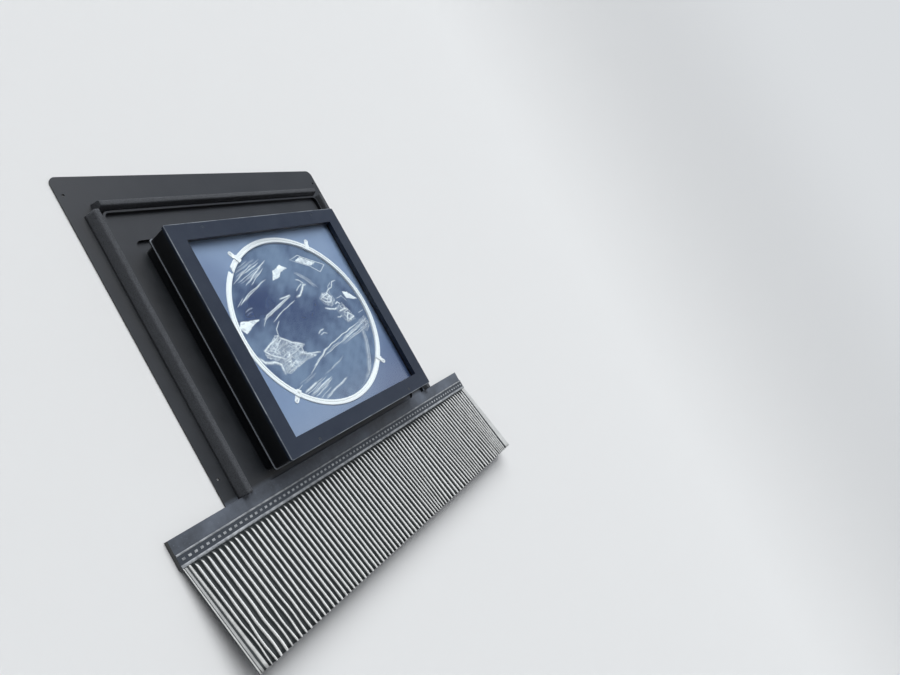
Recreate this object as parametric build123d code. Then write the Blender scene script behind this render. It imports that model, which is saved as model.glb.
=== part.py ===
from build123d import *
import os
from math import atan2, degrees, hypot, sqrt, tan

os.makedirs("parts", exist_ok=True)

# A roof skylight of the light-tunnel kind, with its flashing tray and pleated apron. Millimetres.
# The roof's plane is XY: +Y runs up the slope, +X to the right seen from below, +Z off the roof.
# The origin is on the tube's axis, in the plane where the tray lies on the roof.

# Light tube, which sets the size of the frame round it
tube_r = 175.0
ring_step = 15.5
ring_margin_x = 11.0
ring_margin_y = 11.0

# Cover, one aluminium pressing that frames the pane
cover_top = 80.0
cover_band = 33.5
cover_skirt = 6.0
cover_sheet = 1.5
cover_corner_r = 4.0
cover_screw_in = 82.0

# Pane and its rubber
glass_t = 4.0
glass_recess = 10.5
glass_edge = 17.5
glass_corner_r = 5.0
bed_h = 4.0
bed_w = 11.0
lip_seal_h = 1.0
lip_seal_w = 7.0

# Glazing frame, a moulded cap that carries the pane and drops over the tray's upstand
cap_wall = 3.0
cap_bottom = 29.0
cap_bead = 3.0
cap_bead_proud = 0.5
ledge_t = 3.5
ledge_w = 24.2
post_r = 4.5

# Tray, a moulding with the upstand, the well round it, the deck, the rim and the flange
tray_wall = 3.0
upstand_inset = 6.0
upstand_corner_r = 9.0
well_gap = 11.0
well_corner_r = 12.0
deck_top = 10.0
deck_side = 40.0
deck_head = 60.0
sill_band = 24.0
rim_w = 4.0
rim_h = 8.0
flange_side = 50.0
flange_head = 80.0
flange_corner_r = 14.0
rib_t = 2.5
rib_pitch = 75.0
web_rib_h = 25.0
boss_r = 4.0
boss_l = 15.0
frame_screw_in = 145.0
fixing_hole_r = 2.5
fixing_inset = 12.0
fixing_low_in = 46.0
fixing_high_in = 36.0

# Tube end: adapter in the tray's collar, ring and film over it
adapter_t = 1.2
adapter_h = 23.0
adapter_roll = 3.0
adapter_roll_chamfer = 0.8
adapter_flange_z = 2.2
adapter_flange_w = 15.0
adapter_screw_out = 3.5
ring_w = 11.0
ring_wall = 1.5
ring_h = 5.0
ring_groove = 1.4
ring_outer_bead_w = 5.6
ring_inner_bead_w = 4.2
ring_bead_chamfer = 0.6
ring_split = 2.5
ring_split_slant = 11.0
ring_split_angle = 135.0
panel_t = 3.0
film_t = 0.5

# Clips that hold the ring down on the panel, by their direction seen from above
clip_w = 9.5
clip_t = 1.5
clip_reach = 15.5
clip_hook = 2.5
clip_slot_w = 2.0
clip_slot_l = 6.0
clip_eye_r = 6.5
clip_eye_hole_r = 3.0
clip_with_eye = "ring_clip_lower_left"
clip_angles = {
    "ring_clip_upper_right": 57.0,
    "ring_clip_upper_left": 123.0,
    "ring_clip_lower_left": 225.0,
    "ring_clip_lower_right": 315.0,
}

# Apron, a pleated aluminium sheet laid over the tiles below, so its tail lies higher
apron_side = 220.0
apron_l = 189.0
apron_rise = 30.0
apron_drift = 12.0
apron_sheet = 0.8
apron_flat = 26.0
apron_hem = 12.0
apron_tab = 18.0
apron_tab_lap = 0.6
pleat_pitch = 11.44
pleat_h = 5.5
crest_w = 2.6
trough_w = 3.0

# Strip that presses the apron onto the tray's lip, with a boss at every pleat
strip_w = 23.5
strip_t = 1.4
strip_bead_w = 4.0
strip_bead_h = 1.1
strip_tail_w = 6.0
boss_l_x = 5.5
boss_l_y = 4.0
boss_h = 0.8

# Foam under the tiles, on the flange
foam_w = 22.0
foam_top_w = 10.0
foam_h = 25.0

# Screws
screw_r = 1.8
screw_head_r = 3.5
screw_head_h = 1.8
cover_screw_sunk = 0.2
cover_screw_l = 16.0
frame_screw_l = 17.0
adapter_screw_l = 11.0

# Clearances
fit = 0.3
hole_fit = 0.15
hole_spare = 1.5

# Levels and half sizes worked out from the above
ring_r = tube_r + ring_step
ring_in_r = ring_r - ring_w
opening_w = 2 * (ring_r + ring_margin_x)
opening_l = 2 * (ring_r + ring_margin_y)
cover_w = opening_w + 2 * cover_band
cover_l = opening_l + 2 * cover_band
cover_screw_x = cover_w / 2 - cover_screw_in
glass_top = cover_top - glass_recess
glass_bottom = glass_top - glass_t
glass_w = opening_w + 2 * glass_edge
glass_l = opening_l + 2 * glass_edge
ledge_top = glass_bottom - bed_h
web_top = ledge_top - ledge_t
cap_w = cover_w - 2 * (cover_sheet + fit)
cap_l = cover_l - 2 * (cover_sheet + fit)
cap_top = cover_top - cover_sheet
cover_screw_head_h = cover_sheet - cover_screw_sunk
cap_in_w = cap_w - 2 * cap_wall
cap_in_l = cap_l - 2 * cap_wall
ledge_in_w = cap_in_w - 2 * ledge_w
ledge_in_l = cap_in_l - 2 * ledge_w
post_y = (glass_l + cap_in_l) / 4
upstand_w = cover_w - 2 * upstand_inset
upstand_l = cover_l - 2 * upstand_inset
frame_boss_in = tray_wall / 2 + boss_r
frame_boss_x = upstand_w / 2 - frame_boss_in
frame_boss_y = upstand_l / 2 - frame_boss_in
frame_screw_x = cover_w / 2 - frame_screw_in
frame_screw_y = cover_l / 2 - frame_screw_in
well_x = cover_w / 2 + well_gap
well_y = cover_l / 2 + well_gap
deck_x = well_x + deck_side
deck_y = well_y + deck_head
flange_x = deck_x + flange_side
flange_y = deck_y + flange_head
sill_y = -(well_y + sill_band)
front_y = sill_y - strip_w
fixing_x = flange_x - fixing_inset
fixing_low_y = fixing_low_in - well_y
fixing_high_y = flange_y - fixing_high_in
collar_in_r = tube_r + adapter_roll + fit
collar_r = collar_in_r + tray_wall
collar_bottom = adapter_flange_z + adapter_t
adapter_screw_r = collar_r + adapter_screw_out
ring_top = web_top + ring_h
apron_w = cover_w + 2 * apron_side
pleat_count = round((apron_w - 2 * apron_flat) / pleat_pitch)
slope_w = (pleat_pitch - crest_w - trough_w) / 2


def block(w, l, z0, z1, r=0.0, x=0.0, y=0.0):
    """A plate w across and l up the slope, between two heights, with rounded upright corners."""
    outline = RectangleRounded(w, l, r) if r > 0 else Rectangle(w, l)
    return Pos(x, y, z0) * extrude(outline, amount=z1 - z0)


def span(x0, x1, y0, y1, z0, z1):
    """A box between two corners."""
    return Pos((x0 + x1) / 2, (y0 + y1) / 2, (z0 + z1) / 2) * Box(x1 - x0, y1 - y0, z1 - z0)


def frame_ring(w, l, wall, z0, z1, r=0.0):
    """A square tube: outer size, wall, heights and outer corner radius."""
    inner_r = max(r - wall, 0.0)
    return block(w, l, z0, z1, r) - block(w - 2 * wall, l - 2 * wall, z0, z1, inner_r)


def rod(r, z0, z1, x=0.0, y=0.0):
    """A round bar along Z."""
    return Pos(x, y, (z0 + z1) / 2) * Cylinder(r, z1 - z0)


def pipe(r_out, r_in, z0, z1):
    """A round tube about the tube's axis."""
    return rod(r_out, z0, z1) - rod(r_in, z0, z1)


def four(x, y):
    """The four places that mirror one another about the two middle planes."""
    return [(sx * x, sy * y) for sx in (-1, 1) for sy in (-1, 1)]


def frame_screw_places():
    """Two screws on each side of the upstand."""
    return four(frame_screw_x, frame_boss_y) + four(frame_boss_x, frame_screw_y)


def adapter_screw_places():
    """Four screws round the collar, on the diagonals."""
    return four(adapter_screw_r / sqrt(2), adapter_screw_r / sqrt(2))


def fixing_places():
    """Four holes in the flange, for the nails or screws into the battens."""
    return [(side * fixing_x, y) for side in (-1, 1) for y in (fixing_low_y, fixing_high_y)]


def make_cover_frame():
    """Face, outer skirt and inner lip of one sheet, with countersunk holes in two bands."""
    face = frame_ring(cover_w, cover_l, cover_band, cover_top - cover_sheet, cover_top, cover_corner_r)
    skirt = frame_ring(cover_w, cover_l, cover_sheet, cover_top - cover_skirt, cover_top, cover_corner_r)
    lip = frame_ring(opening_w + 2 * cover_sheet, opening_l + 2 * cover_sheet, cover_sheet,
                     glass_top + lip_seal_h, cover_top)
    body = face + skirt + lip
    outer_top = body.edges().filter_by_position(Axis.Z, cover_top, cover_top)
    outer_top = [e for e in outer_top if max(abs(e.center().X) * 2 / cover_w,
                                             abs(e.center().Y) * 2 / cover_l) > 0.97]
    body = fillet(outer_top, cover_sheet * 0.8)
    r_low = screw_r + hole_fit
    r_high = r_low + (screw_head_r - screw_r) * cover_sheet / cover_screw_head_h
    for x, y in four(cover_screw_x, post_y):
        body -= Pos(x, y, cover_top - cover_sheet / 2) * Cone(r_low, r_high, cover_sheet)
    return body


def make_cover_screws():
    """Countersunk screws, a little below the cover's face."""
    head_top = cover_top - cover_screw_sunk
    head_low = cap_top
    screws = []
    for x, y in four(cover_screw_x, post_y):
        head = Pos(x, y, head_low + cover_screw_head_h / 2) * Cone(screw_r, screw_head_r, cover_screw_head_h)
        screws.append(head + rod(screw_r, cap_top - cover_screw_l, cap_top, x, y))
    return Compound(children=screws)


def make_glass_pane():
    return block(glass_w, glass_l, glass_bottom, glass_top, glass_corner_r)


def make_glass_gasket():
    """Soft bed on the ledge, under the edge of the pane."""
    return frame_ring(ledge_in_w + 2 * bed_w, ledge_in_l + 2 * bed_w, bed_w, ledge_top, glass_bottom)


def make_cover_gasket():
    """Flat seal between the pane and the cover's inner lip."""
    return frame_ring(opening_w + 2 * lip_seal_w, opening_l + 2 * lip_seal_w, lip_seal_w,
                      glass_top, glass_top + lip_seal_h)


def make_glazing_frame():
    """Outer wall with its bead, ledge for the pane, and posts for the cover screws."""
    wall = frame_ring(cap_w, cap_l, cap_wall, cap_bottom, cap_top, cover_corner_r)
    bead_out = 2 * (cover_sheet + fit + cap_bead_proud)
    bead = frame_ring(cap_w + bead_out, cap_l + bead_out, bead_out / 2 + cap_wall,
                      cap_bottom, cap_bottom + cap_bead, cover_corner_r + bead_out / 2)
    ledge = frame_ring(cap_in_w, cap_in_l, ledge_w, web_top, ledge_top)
    body = wall + bead + ledge
    for x, y in four(cover_screw_x, post_y):
        body += rod(post_r, web_top, cap_top, x, y)
    for x, y in four(cover_screw_x, post_y):
        body -= rod(screw_r + hole_fit, ledge_top, cap_top, x, y)
    for x, y in frame_screw_places():
        body -= rod(screw_r + hole_fit, web_top, ledge_top, x, y)
    return body


def make_frame_screws():
    """Pan-head screws through the ledge into the upstand's bosses."""
    screws = []
    for x, y in frame_screw_places():
        head = rod(screw_head_r, ledge_top, ledge_top + screw_head_h, x, y)
        screws.append(head + rod(screw_r, ledge_top - frame_screw_l, ledge_top, x, y))
    return Compound(children=screws)


def rib_places(length):
    """Middles of evenly spaced ribs over a length centred on zero."""
    count = max(int(length / rib_pitch), 1)
    return [length * ((i + 0.5) / count - 0.5) for i in range(count)]


def tray_deck():
    """Flange, hollow deck with ribs, hollow sill as wide as the apron, and the rim."""
    mid_y = (front_y + flange_y) / 2
    flange = block(2 * flange_x, flange_y - front_y, 0, tray_wall, flange_corner_r, y=mid_y)
    deck = span(-deck_x, deck_x, front_y, deck_y, 0, deck_top)
    sill = span(-apron_w / 2, apron_w / 2, front_y, -well_y, 0, deck_top)
    hollow_top = deck_top - tray_wall
    under_deck = span(-deck_x + tray_wall, deck_x - tray_wall, -well_y - tray_wall, deck_y - tray_wall,
                      0, hollow_top)
    under_deck -= block(2 * (well_x + tray_wall), 2 * (well_y + tray_wall), 0, hollow_top,
                        well_corner_r + tray_wall)
    for y in rib_places(2 * well_y):
        under_deck -= span(-deck_x, deck_x, y - rib_t / 2, y + rib_t / 2, 0, hollow_top)
    under_sill = span(-apron_w / 2 + tray_wall, apron_w / 2 - tray_wall, front_y + tray_wall,
                      -well_y - tray_wall, 0, hollow_top - apron_sheet)
    for x in rib_places(apron_w):
        under_sill -= span(x - rib_t / 2, x + rib_t / 2, front_y, -well_y, 0, hollow_top)
    rim = frame_ring(2 * deck_x, 2 * deck_y, rim_w, deck_top, deck_top + rim_h, flange_corner_r)
    rim -= span(-deck_x, deck_x, -deck_y, -well_y, deck_top, deck_top + rim_h)
    body = flange + deck + sill - under_deck - under_sill + rim
    lip_cut = span(-apron_w / 2, apron_w / 2, front_y, sill_y, deck_top - apron_sheet, deck_top)
    return body - lip_cut


def tray_upstand():
    """Square box with a closed top, the round collar through it, and ribs between the two."""
    box = block(upstand_w, upstand_l, 0, web_top, upstand_corner_r)
    inside = block(upstand_w - 2 * tray_wall, upstand_l - 2 * tray_wall, 0, web_top - tray_wall,
                   upstand_corner_r - tray_wall)
    corner_reach = hypot(upstand_w, upstand_l)
    ribs = [Rot(0, 0, angle) * span(-corner_reach, corner_reach, -rib_t / 2, rib_t / 2,
                                    web_top - tray_wall - web_rib_h, web_top - tray_wall)
            for angle in (0, 90, degrees(atan2(upstand_l, upstand_w)), -degrees(atan2(upstand_l, upstand_w)))]
    inside -= ribs
    inside -= rod(collar_r, collar_bottom, web_top)
    bosses = [rod(boss_r, web_top - boss_l, web_top, x, y) for x, y in frame_screw_places()]
    bosses += [rod(boss_r, collar_bottom, collar_bottom + boss_l, x, y) for x, y in adapter_screw_places()]
    return box - inside + bosses - rod(collar_in_r, 0, web_top)


def make_flashing_tray():
    """The whole tray, with the well cut round the upstand and all its screw holes."""
    well = block(2 * well_x, 2 * well_y, tray_wall, deck_top, well_corner_r)
    footprint = block(upstand_w, upstand_l, 0, deck_top, upstand_corner_r)
    body = tray_deck() - well - footprint + tray_upstand()
    for x, y in frame_screw_places():
        body -= rod(screw_r + hole_fit, ledge_top - frame_screw_l - hole_spare, web_top, x, y)
    for x, y in adapter_screw_places():
        hole_top = adapter_flange_z + adapter_screw_l + hole_spare
        body -= rod(screw_r + hole_fit, collar_bottom, hole_top, x, y)
    for x, y in fixing_places():
        body -= rod(fixing_hole_r, 0, tray_wall, x, y)
    return body


def make_inner_panel():
    """Flat panel on top of the upstand, seen through the pane outside the ring."""
    plate = block(ledge_in_w - 2 * fit, ledge_in_l - 2 * fit, web_top, web_top + panel_t)
    return plate - rod(ring_in_r + ring_wall + fit, web_top, web_top + panel_t)


def make_tube_ring():
    """Turned profile: a wall down the hole and two beads with a groove, split where its end is cut slanting."""
    panel_top = web_top + panel_t
    groove_z = ring_top - ring_groove
    c = ring_bead_chamfer
    groove_out = ring_r - ring_outer_bead_w
    groove_in = ring_in_r + ring_inner_bead_w
    outer_bead = [(ring_r, ring_top - c), (ring_r - c, ring_top), (groove_out + c, ring_top),
                  (groove_out, groove_z)]
    inner_bead = [(groove_in, groove_z), (groove_in - c, ring_top), (ring_in_r + c, ring_top),
                  (ring_in_r, ring_top - c)]
    foot = [(ring_in_r, web_top), (ring_in_r + ring_wall, web_top), (ring_in_r + ring_wall, panel_top),
            (ring_r, panel_top)]
    section = make_face(Polyline(*foot, *outer_bead, *inner_bead, close=True))
    ring = revolve(Plane.XZ * section, axis=Axis.Z)
    gap = Polyline((ring_in_r - fit, ring_split / 2), (ring_r + fit, ring_split / 2),
                   (ring_r + fit, -ring_split / 2 - ring_split_slant), (ring_in_r - fit, -ring_split / 2),
                   close=True)
    gap = Pos(0, 0, web_top) * extrude(make_face(gap), amount=ring_h)
    return ring - Rot(0, 0, ring_split_angle) * gap


def make_ring_clip(angle, has_eye):
    """Bent strip: hook inside the ring, bridge over it, and a round-ended foot with a slot on the panel."""
    panel_top = web_top + panel_t
    hook_out = ring_in_r - fit
    hook_in = hook_out - clip_t
    bridge_low = ring_top + fit / 2
    bridge_top = bridge_low + clip_t
    leg_in = ring_r + fit
    side = Polyline((hook_in, bridge_top - clip_hook - clip_t), (hook_out, bridge_top - clip_hook - clip_t),
                    (hook_out, bridge_low), (leg_in, bridge_low), (leg_in, panel_top),
                    (leg_in + clip_reach, panel_top), (leg_in + clip_reach, panel_top + clip_t),
                    (leg_in + clip_t, panel_top + clip_t), (leg_in + clip_t, bridge_top),
                    (hook_in, bridge_top), close=True)
    strip = extrude(Plane.XZ * make_face(side), amount=clip_w / 2, both=True)
    round_x = leg_in + clip_reach - clip_w / 2
    square_end = span(round_x, round_x + clip_w, -clip_w / 2, clip_w / 2, panel_top, panel_top + clip_t)
    strip -= square_end - rod(clip_w / 2, panel_top, panel_top + clip_t, round_x)
    slot = SlotOverall(clip_slot_l, clip_slot_w)
    strip -= Pos(round_x, 0, panel_top) * extrude(slot, amount=clip_t)
    if has_eye:
        eye_x = (ring_r + ring_in_r) / 2
        strip += rod(clip_eye_r, bridge_low, bridge_top, eye_x)
        strip -= rod(clip_eye_hole_r, bridge_low, bridge_top, eye_x)
    return Rot(0, 0, angle) * strip


def make_protective_film():
    """Taut round film on the collar's end, inside the ring."""
    return rod(ring_in_r - fit, web_top, web_top + film_t)


def make_tube_adapter():
    """Thin tube in the collar, with an outward roll round its upper rim and a flange under the collar."""
    barrel = pipe(tube_r + adapter_t, tube_r, 0, adapter_h)
    roll = pipe(tube_r + adapter_roll, tube_r, adapter_h - adapter_roll, adapter_h)
    outer_edges = [e for e in roll.edges().filter_by(GeomType.CIRCLE) if e.radius > tube_r + adapter_t]
    roll = chamfer(outer_edges, adapter_roll_chamfer)
    flange = pipe(tube_r + adapter_t + adapter_flange_w, tube_r, adapter_flange_z, collar_bottom)
    body = barrel + roll + flange
    for x, y in adapter_screw_places():
        body -= rod(screw_r + hole_fit, adapter_flange_z, collar_bottom, x, y)
    return body


def make_adapter_screws():
    """Pan-head screws from below, with their heads above the resting plane."""
    screws = []
    for x, y in adapter_screw_places():
        head = rod(screw_head_r, adapter_flange_z - screw_head_h, adapter_flange_z, x, y)
        screws.append(head + rod(screw_r, adapter_flange_z, adapter_flange_z + adapter_screw_l, x, y))
    return Compound(children=screws)


def pleat_line(z, inset):
    """The pleated line at the apron's head, left to right: flat end, slope, crest, slope, trough."""
    first = (trough_w - pleat_count * pleat_pitch) / 2
    points = [(-apron_w / 2, z)]
    for k in range(pleat_count):
        low = first + k * pleat_pitch
        high = low + slope_w
        points += [(low + inset, z), (high + inset, z + pleat_h),
                   (high + crest_w - inset, z + pleat_h), (high + crest_w + slope_w - inset, z)]
    points.append((apron_w / 2, z))
    return points


def make_apron():
    """The pleated sheet runs down over the tiles, with flat hemmed ends and a flat tab at its head."""
    fold_inset = apron_sheet * tan(atan2(pleat_h, slope_w) / 2)
    upper = pleat_line(deck_top, 0)
    lower = pleat_line(deck_top - apron_sheet, fold_inset)
    head = Plane((0, front_y, 0), x_dir=(1, 0, 0), z_dir=(0, -1, 0))
    section = head * make_face(Polyline(*upper, *reversed(lower), close=True))
    down = Vector(apron_drift, -apron_l, apron_rise)
    sheet = extrude(section, amount=down.length, dir=down.normalized())
    tab = span(-apron_w / 2, apron_w / 2, front_y - apron_tab_lap, front_y + apron_tab,
               deck_top - apron_sheet, deck_top)
    hems = []
    for side in (-1, 1):
        place = Pos(side * (apron_w - apron_hem) / 2, deck_top + apron_sheet / 2)
        outline = head * place * Rectangle(apron_hem, apron_sheet)
        hems.append(extrude(outline, amount=down.length, dir=down.normalized()))
    return sheet + tab + hems


def make_apron_strip():
    """Pressed strip with a bead at its upper edge, a broad one at its tail and bosses between."""
    z = deck_top
    top = z + strip_t
    bead_top = top + strip_bead_h
    tail_y = front_y + strip_tail_w
    side = (Polyline((front_y, top), (front_y, z), (sill_y, z), (sill_y, top))
            + ThreePointArc((sill_y, top), (sill_y - strip_bead_w / 2, bead_top), (sill_y - strip_bead_w, top))
            + Line((sill_y - strip_bead_w, top), (tail_y, top))
            + ThreePointArc((tail_y, top), (front_y + strip_tail_w / 2, bead_top), (front_y, top)))
    bar = extrude(Plane.YZ * make_face(side), amount=apron_w / 2, both=True)
    boss_y = (sill_y - strip_bead_w + tail_y) / 2
    count = int(apron_w / pleat_pitch)
    bosses = [Pos((i - (count - 1) / 2) * pleat_pitch, boss_y, top + boss_h / 2)
              * Box(boss_l_x, boss_l_y, boss_h) for i in range(count)]
    return bar + bosses


def foam_bar(length):
    """A foam strip along Y, narrower at the top."""
    side = make_face(Polyline((-foam_w / 2, 0), (foam_w / 2, 0), (foam_top_w / 2, foam_h),
                              (-foam_top_w / 2, foam_h), close=True))
    return extrude(Plane.XZ * side, amount=length / 2, both=True)


def make_foam_side(side):
    """Foam beside the deck, on the left (-1) or the right (1)."""
    x = deck_x + fit + foam_w / 2
    return Pos(side * x, (deck_y - well_y) / 2, tray_wall) * foam_bar(deck_y + well_y)


def make_foam_top():
    y = deck_y + fit + foam_w / 2
    return Pos(0, y, tray_wall) * Rot(0, 0, 90) * foam_bar(2 * deck_x)


nodes = {
    "cover_frame": make_cover_frame(),
    "cover_screws": make_cover_screws(),
    "glass_pane": make_glass_pane(),
    "glass_gasket": make_glass_gasket(),
    "cover_gasket": make_cover_gasket(),
    "glazing_frame": make_glazing_frame(),
    "frame_screws": make_frame_screws(),
    "flashing_tray": make_flashing_tray(),
    "inner_panel": make_inner_panel(),
    "tube_ring": make_tube_ring(),
    "protective_film": make_protective_film(),
    "tube_adapter": make_tube_adapter(),
    "adapter_screws": make_adapter_screws(),
    "apron": make_apron(),
    "apron_strip": make_apron_strip(),
    "foam_left": make_foam_side(-1),
    "foam_right": make_foam_side(1),
    "foam_top": make_foam_top(),
}
for name, angle in clip_angles.items():
    nodes[name] = make_ring_clip(angle, name == clip_with_eye)

for name, shape in nodes.items():
    export_step(shape, f"parts/{name}.step")
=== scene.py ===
# %% [markdown]
# # A roof skylight, dressed over its frame
# The hard parts come from the frame as they were built: cover, pane, tray, ring, clips and strip.
# They keep their shape here and only get a finish. Three things are made in this script, because
# their shape is that of thin or soft stuff: the pleated apron, the crinkled film and the foam.

# %% Load the frame
from math import cos, pi, radians, sin

import bpy
import numpy as np
from mathutils import Matrix, Vector


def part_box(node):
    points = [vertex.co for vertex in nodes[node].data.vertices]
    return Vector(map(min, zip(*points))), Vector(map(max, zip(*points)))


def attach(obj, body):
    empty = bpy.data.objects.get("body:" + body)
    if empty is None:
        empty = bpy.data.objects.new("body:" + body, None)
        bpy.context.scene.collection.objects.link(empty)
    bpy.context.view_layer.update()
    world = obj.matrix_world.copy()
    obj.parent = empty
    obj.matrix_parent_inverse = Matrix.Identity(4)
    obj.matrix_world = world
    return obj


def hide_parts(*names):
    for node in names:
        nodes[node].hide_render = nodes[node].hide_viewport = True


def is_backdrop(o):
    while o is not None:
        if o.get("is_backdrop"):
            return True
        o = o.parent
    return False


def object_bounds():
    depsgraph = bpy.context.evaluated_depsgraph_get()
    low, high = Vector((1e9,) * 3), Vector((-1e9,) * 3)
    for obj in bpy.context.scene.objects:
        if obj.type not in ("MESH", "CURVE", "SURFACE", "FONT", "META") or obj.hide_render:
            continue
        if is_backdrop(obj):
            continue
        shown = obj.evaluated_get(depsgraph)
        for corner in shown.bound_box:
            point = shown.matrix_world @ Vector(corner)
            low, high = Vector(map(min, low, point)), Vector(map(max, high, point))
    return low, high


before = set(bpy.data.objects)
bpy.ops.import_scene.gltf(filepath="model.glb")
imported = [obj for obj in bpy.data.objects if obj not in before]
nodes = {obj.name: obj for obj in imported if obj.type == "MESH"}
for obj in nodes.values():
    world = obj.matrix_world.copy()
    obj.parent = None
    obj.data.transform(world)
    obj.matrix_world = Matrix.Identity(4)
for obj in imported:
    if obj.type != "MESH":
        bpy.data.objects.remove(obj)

MM = 0.001
scene = bpy.context.scene


def corners():
    """The box round everything that belongs to the object, as plain lists."""
    return [[round(v, 6) for v in corner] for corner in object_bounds()]


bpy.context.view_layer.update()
print("pieces in the frame:", len(nodes))

# %% [markdown]
# ## Camera
# The photograph was taken from the skylight's left, about a metre off the slope, with the camera
# turned, so the slope's lines run across the picture. A camera could be aimed with a target, but
# then its roll would be hard to set. The eye's place and three axes of length one, right, up and
# back, give place, aim and roll at once.

# %% Camera
IMAGE_W = 900
FOCAL_PIXELS = 654.1
SENSOR = 36.0


def put(name, data):
    """A new object of this data in the scene."""
    made = bpy.data.objects.new(name, data)
    scene.collection.objects.link(made)
    return made


right = Vector((0.47621, -0.49340, 0.72786))
up = Vector((0.23113, 0.86887, 0.43777))
back = right.cross(up)
eye = Vector((-1.00982, -0.22914, 0.96249))

camera = put("camera", bpy.data.cameras.new("camera"))
axes = Matrix((right, up, back)).transposed()
camera.matrix_world = Matrix.Translation(eye) @ axes.to_4x4()
camera.data.sensor_width = SENSOR
camera.data.lens = FOCAL_PIXELS / IMAGE_W * SENSOR
camera.data.clip_start = 0.05
scene.camera = camera
scene.view_settings.view_transform = "Standard"
print("lens in mm:", round(camera.data.lens, 2), "height in m:", round(eye.z, 3))

# %% [markdown]
# ## Helpers for every finish
# Colours are written as they look on a screen, in sRGB hex, but a shader counts light, which is
# linear. One function turns the first into the second. Another one adds a node, sets its options
# and fills its inputs, so that a finish reads from top to bottom like a recipe. A Mix node has
# sockets for each kind of data, and three names say which ones are its colours.

# %% Colour and node helpers
A_COLOUR, B_COLOUR, MIXED = 6, 7, 2


def linear(hex_colour):
    """A screen colour such as #808080 as the linear colour that a shader takes."""
    parts = [int(hex_colour[i:i + 2], 16) / 255 for i in (1, 3, 5)]
    return [c / 12.92 if c <= 0.04045 else ((c + 0.055) / 1.055) ** 2.4 for c in parts] + [1.0]


def add(tree, kind, inputs=None, **options):
    """One more node, with its options, and inputs that are values or other nodes' outputs."""
    new = tree.nodes.new("ShaderNode" + kind)
    for name, value in options.items():
        setattr(new, name, value)
    for key, value in (inputs or {}).items():
        if isinstance(value, bpy.types.NodeSocket):
            tree.links.new(value, new.inputs[key])
        else:
            new.inputs[key].default_value = value
    return new


def finish_named(name, **start):
    """A new material with one Principled surface. The rest of the recipe is linked to it."""
    material = bpy.data.materials.new(name)
    material.use_nodes = True
    tree = material.node_tree
    tree.nodes.clear()
    surface = add(tree, "BsdfPrincipled", start)
    add(tree, "OutputMaterial", {"Surface": surface.outputs[0]})
    return material, tree, surface


def show_shader(tree, shader):
    """Shows this shader in place of the Principled surface."""
    tree.links.new(shader.outputs[0], tree.get_output_node("ALL").inputs["Surface"])


def paint(tree, surface, mix):
    """Gives the surface this Mix node's colour."""
    tree.links.new(mix.outputs[MIXED], surface.inputs["Base Color"])


def per_mm(millimetres):
    """Scale for a pattern whose marks are this far apart, on an object measured in metres."""
    return 1.0 / (millimetres * MM)


def coat_node(names, material):
    """Gives nodes of the frame their finish, in every slot that they have."""
    for name in names:
        slots = nodes[name].data.materials
        if not slots:
            slots.append(material)
        for i in range(len(slots)):
            slots[i] = material
    print(material.name, "on", ", ".join(names))


print("mid grey is", [round(c, 3) for c in linear("#808080")[:3]])

# %% [markdown]
# ## Floor and backdrop
# Outdoors the sky lies in the pane and on the crests of the apron. A studio has no sky, so the pale
# floor sweeps up into a wall on the far side, and the pane mirrors that. High up the wall turns
# white on one side and sky blue on the other. Light Path keeps it from lighting the object: its
# glow is only for the camera, for mirrors and for glass, and it casts no shadow.

# %% Sweep
FLOOR_Z = -0.0005
FLAT_UP_TO = -2.0
WALL_X = 3.4
WALL_H = 6.5
SWEEP_R = 1.6
SWEEP_STEPS = 16
REACH = 30.0


def new_mesh(name, verts, faces, sharp=0):
    """A mesh with smooth faces, of which the last few can be flat. Its points are in metres."""
    mesh = bpy.data.meshes.new(name)
    mesh.from_pydata(verts, [], faces)
    mesh.polygons.foreach_set("use_smooth", [True] * (len(faces) - sharp) + [False] * sharp)
    mesh.update()
    return mesh


def make_sweep():
    """The floor, a quarter round and the wall as one strip."""
    line = [(-REACH, FLOOR_Z), (FLAT_UP_TO, FLOOR_Z), (WALL_X - SWEEP_R, FLOOR_Z)]
    for i in range(1, SWEEP_STEPS + 1):
        turn = pi / 2 * i / SWEEP_STEPS
        line.append((WALL_X - SWEEP_R + SWEEP_R * sin(turn), FLOOR_Z + SWEEP_R * (1 - cos(turn))))
    line.append((WALL_X, WALL_H))
    verts = [(x, y, z) for x, z in line for y in (-REACH, REACH)]
    faces = [(2 * i, 2 * i + 2, 2 * i + 3, 2 * i + 1) for i in range(len(line) - 1)]
    return put("sweep", new_mesh("sweep", verts, faces))


def seen_directly(tree):
    """1 for what is looked at, straight, in a mirror or through glass, and 0 for light on things."""
    ray = add(tree, "LightPath")
    seen = add(tree, "Math", {0: ray.outputs["Is Camera Ray"], 1: ray.outputs["Is Glossy Ray"]},
               operation="MAXIMUM")
    return add(tree, "Math", {0: seen.outputs[0], 1: ray.outputs["Is Transmission Ray"]},
               operation="MAXIMUM")


print("floor at", FLOOR_Z, "m, wall at", WALL_X, "m")

# %% Backdrop paper
PALE = "#dadde0"
GLOW_FULL_Z = 1.2
CARD_FROM_Z = 1.7
CARD_FULL_Z = 2.4
WHITE_UP_TO_Y = -0.3
BLUE_FROM_Y = 0.2

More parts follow.
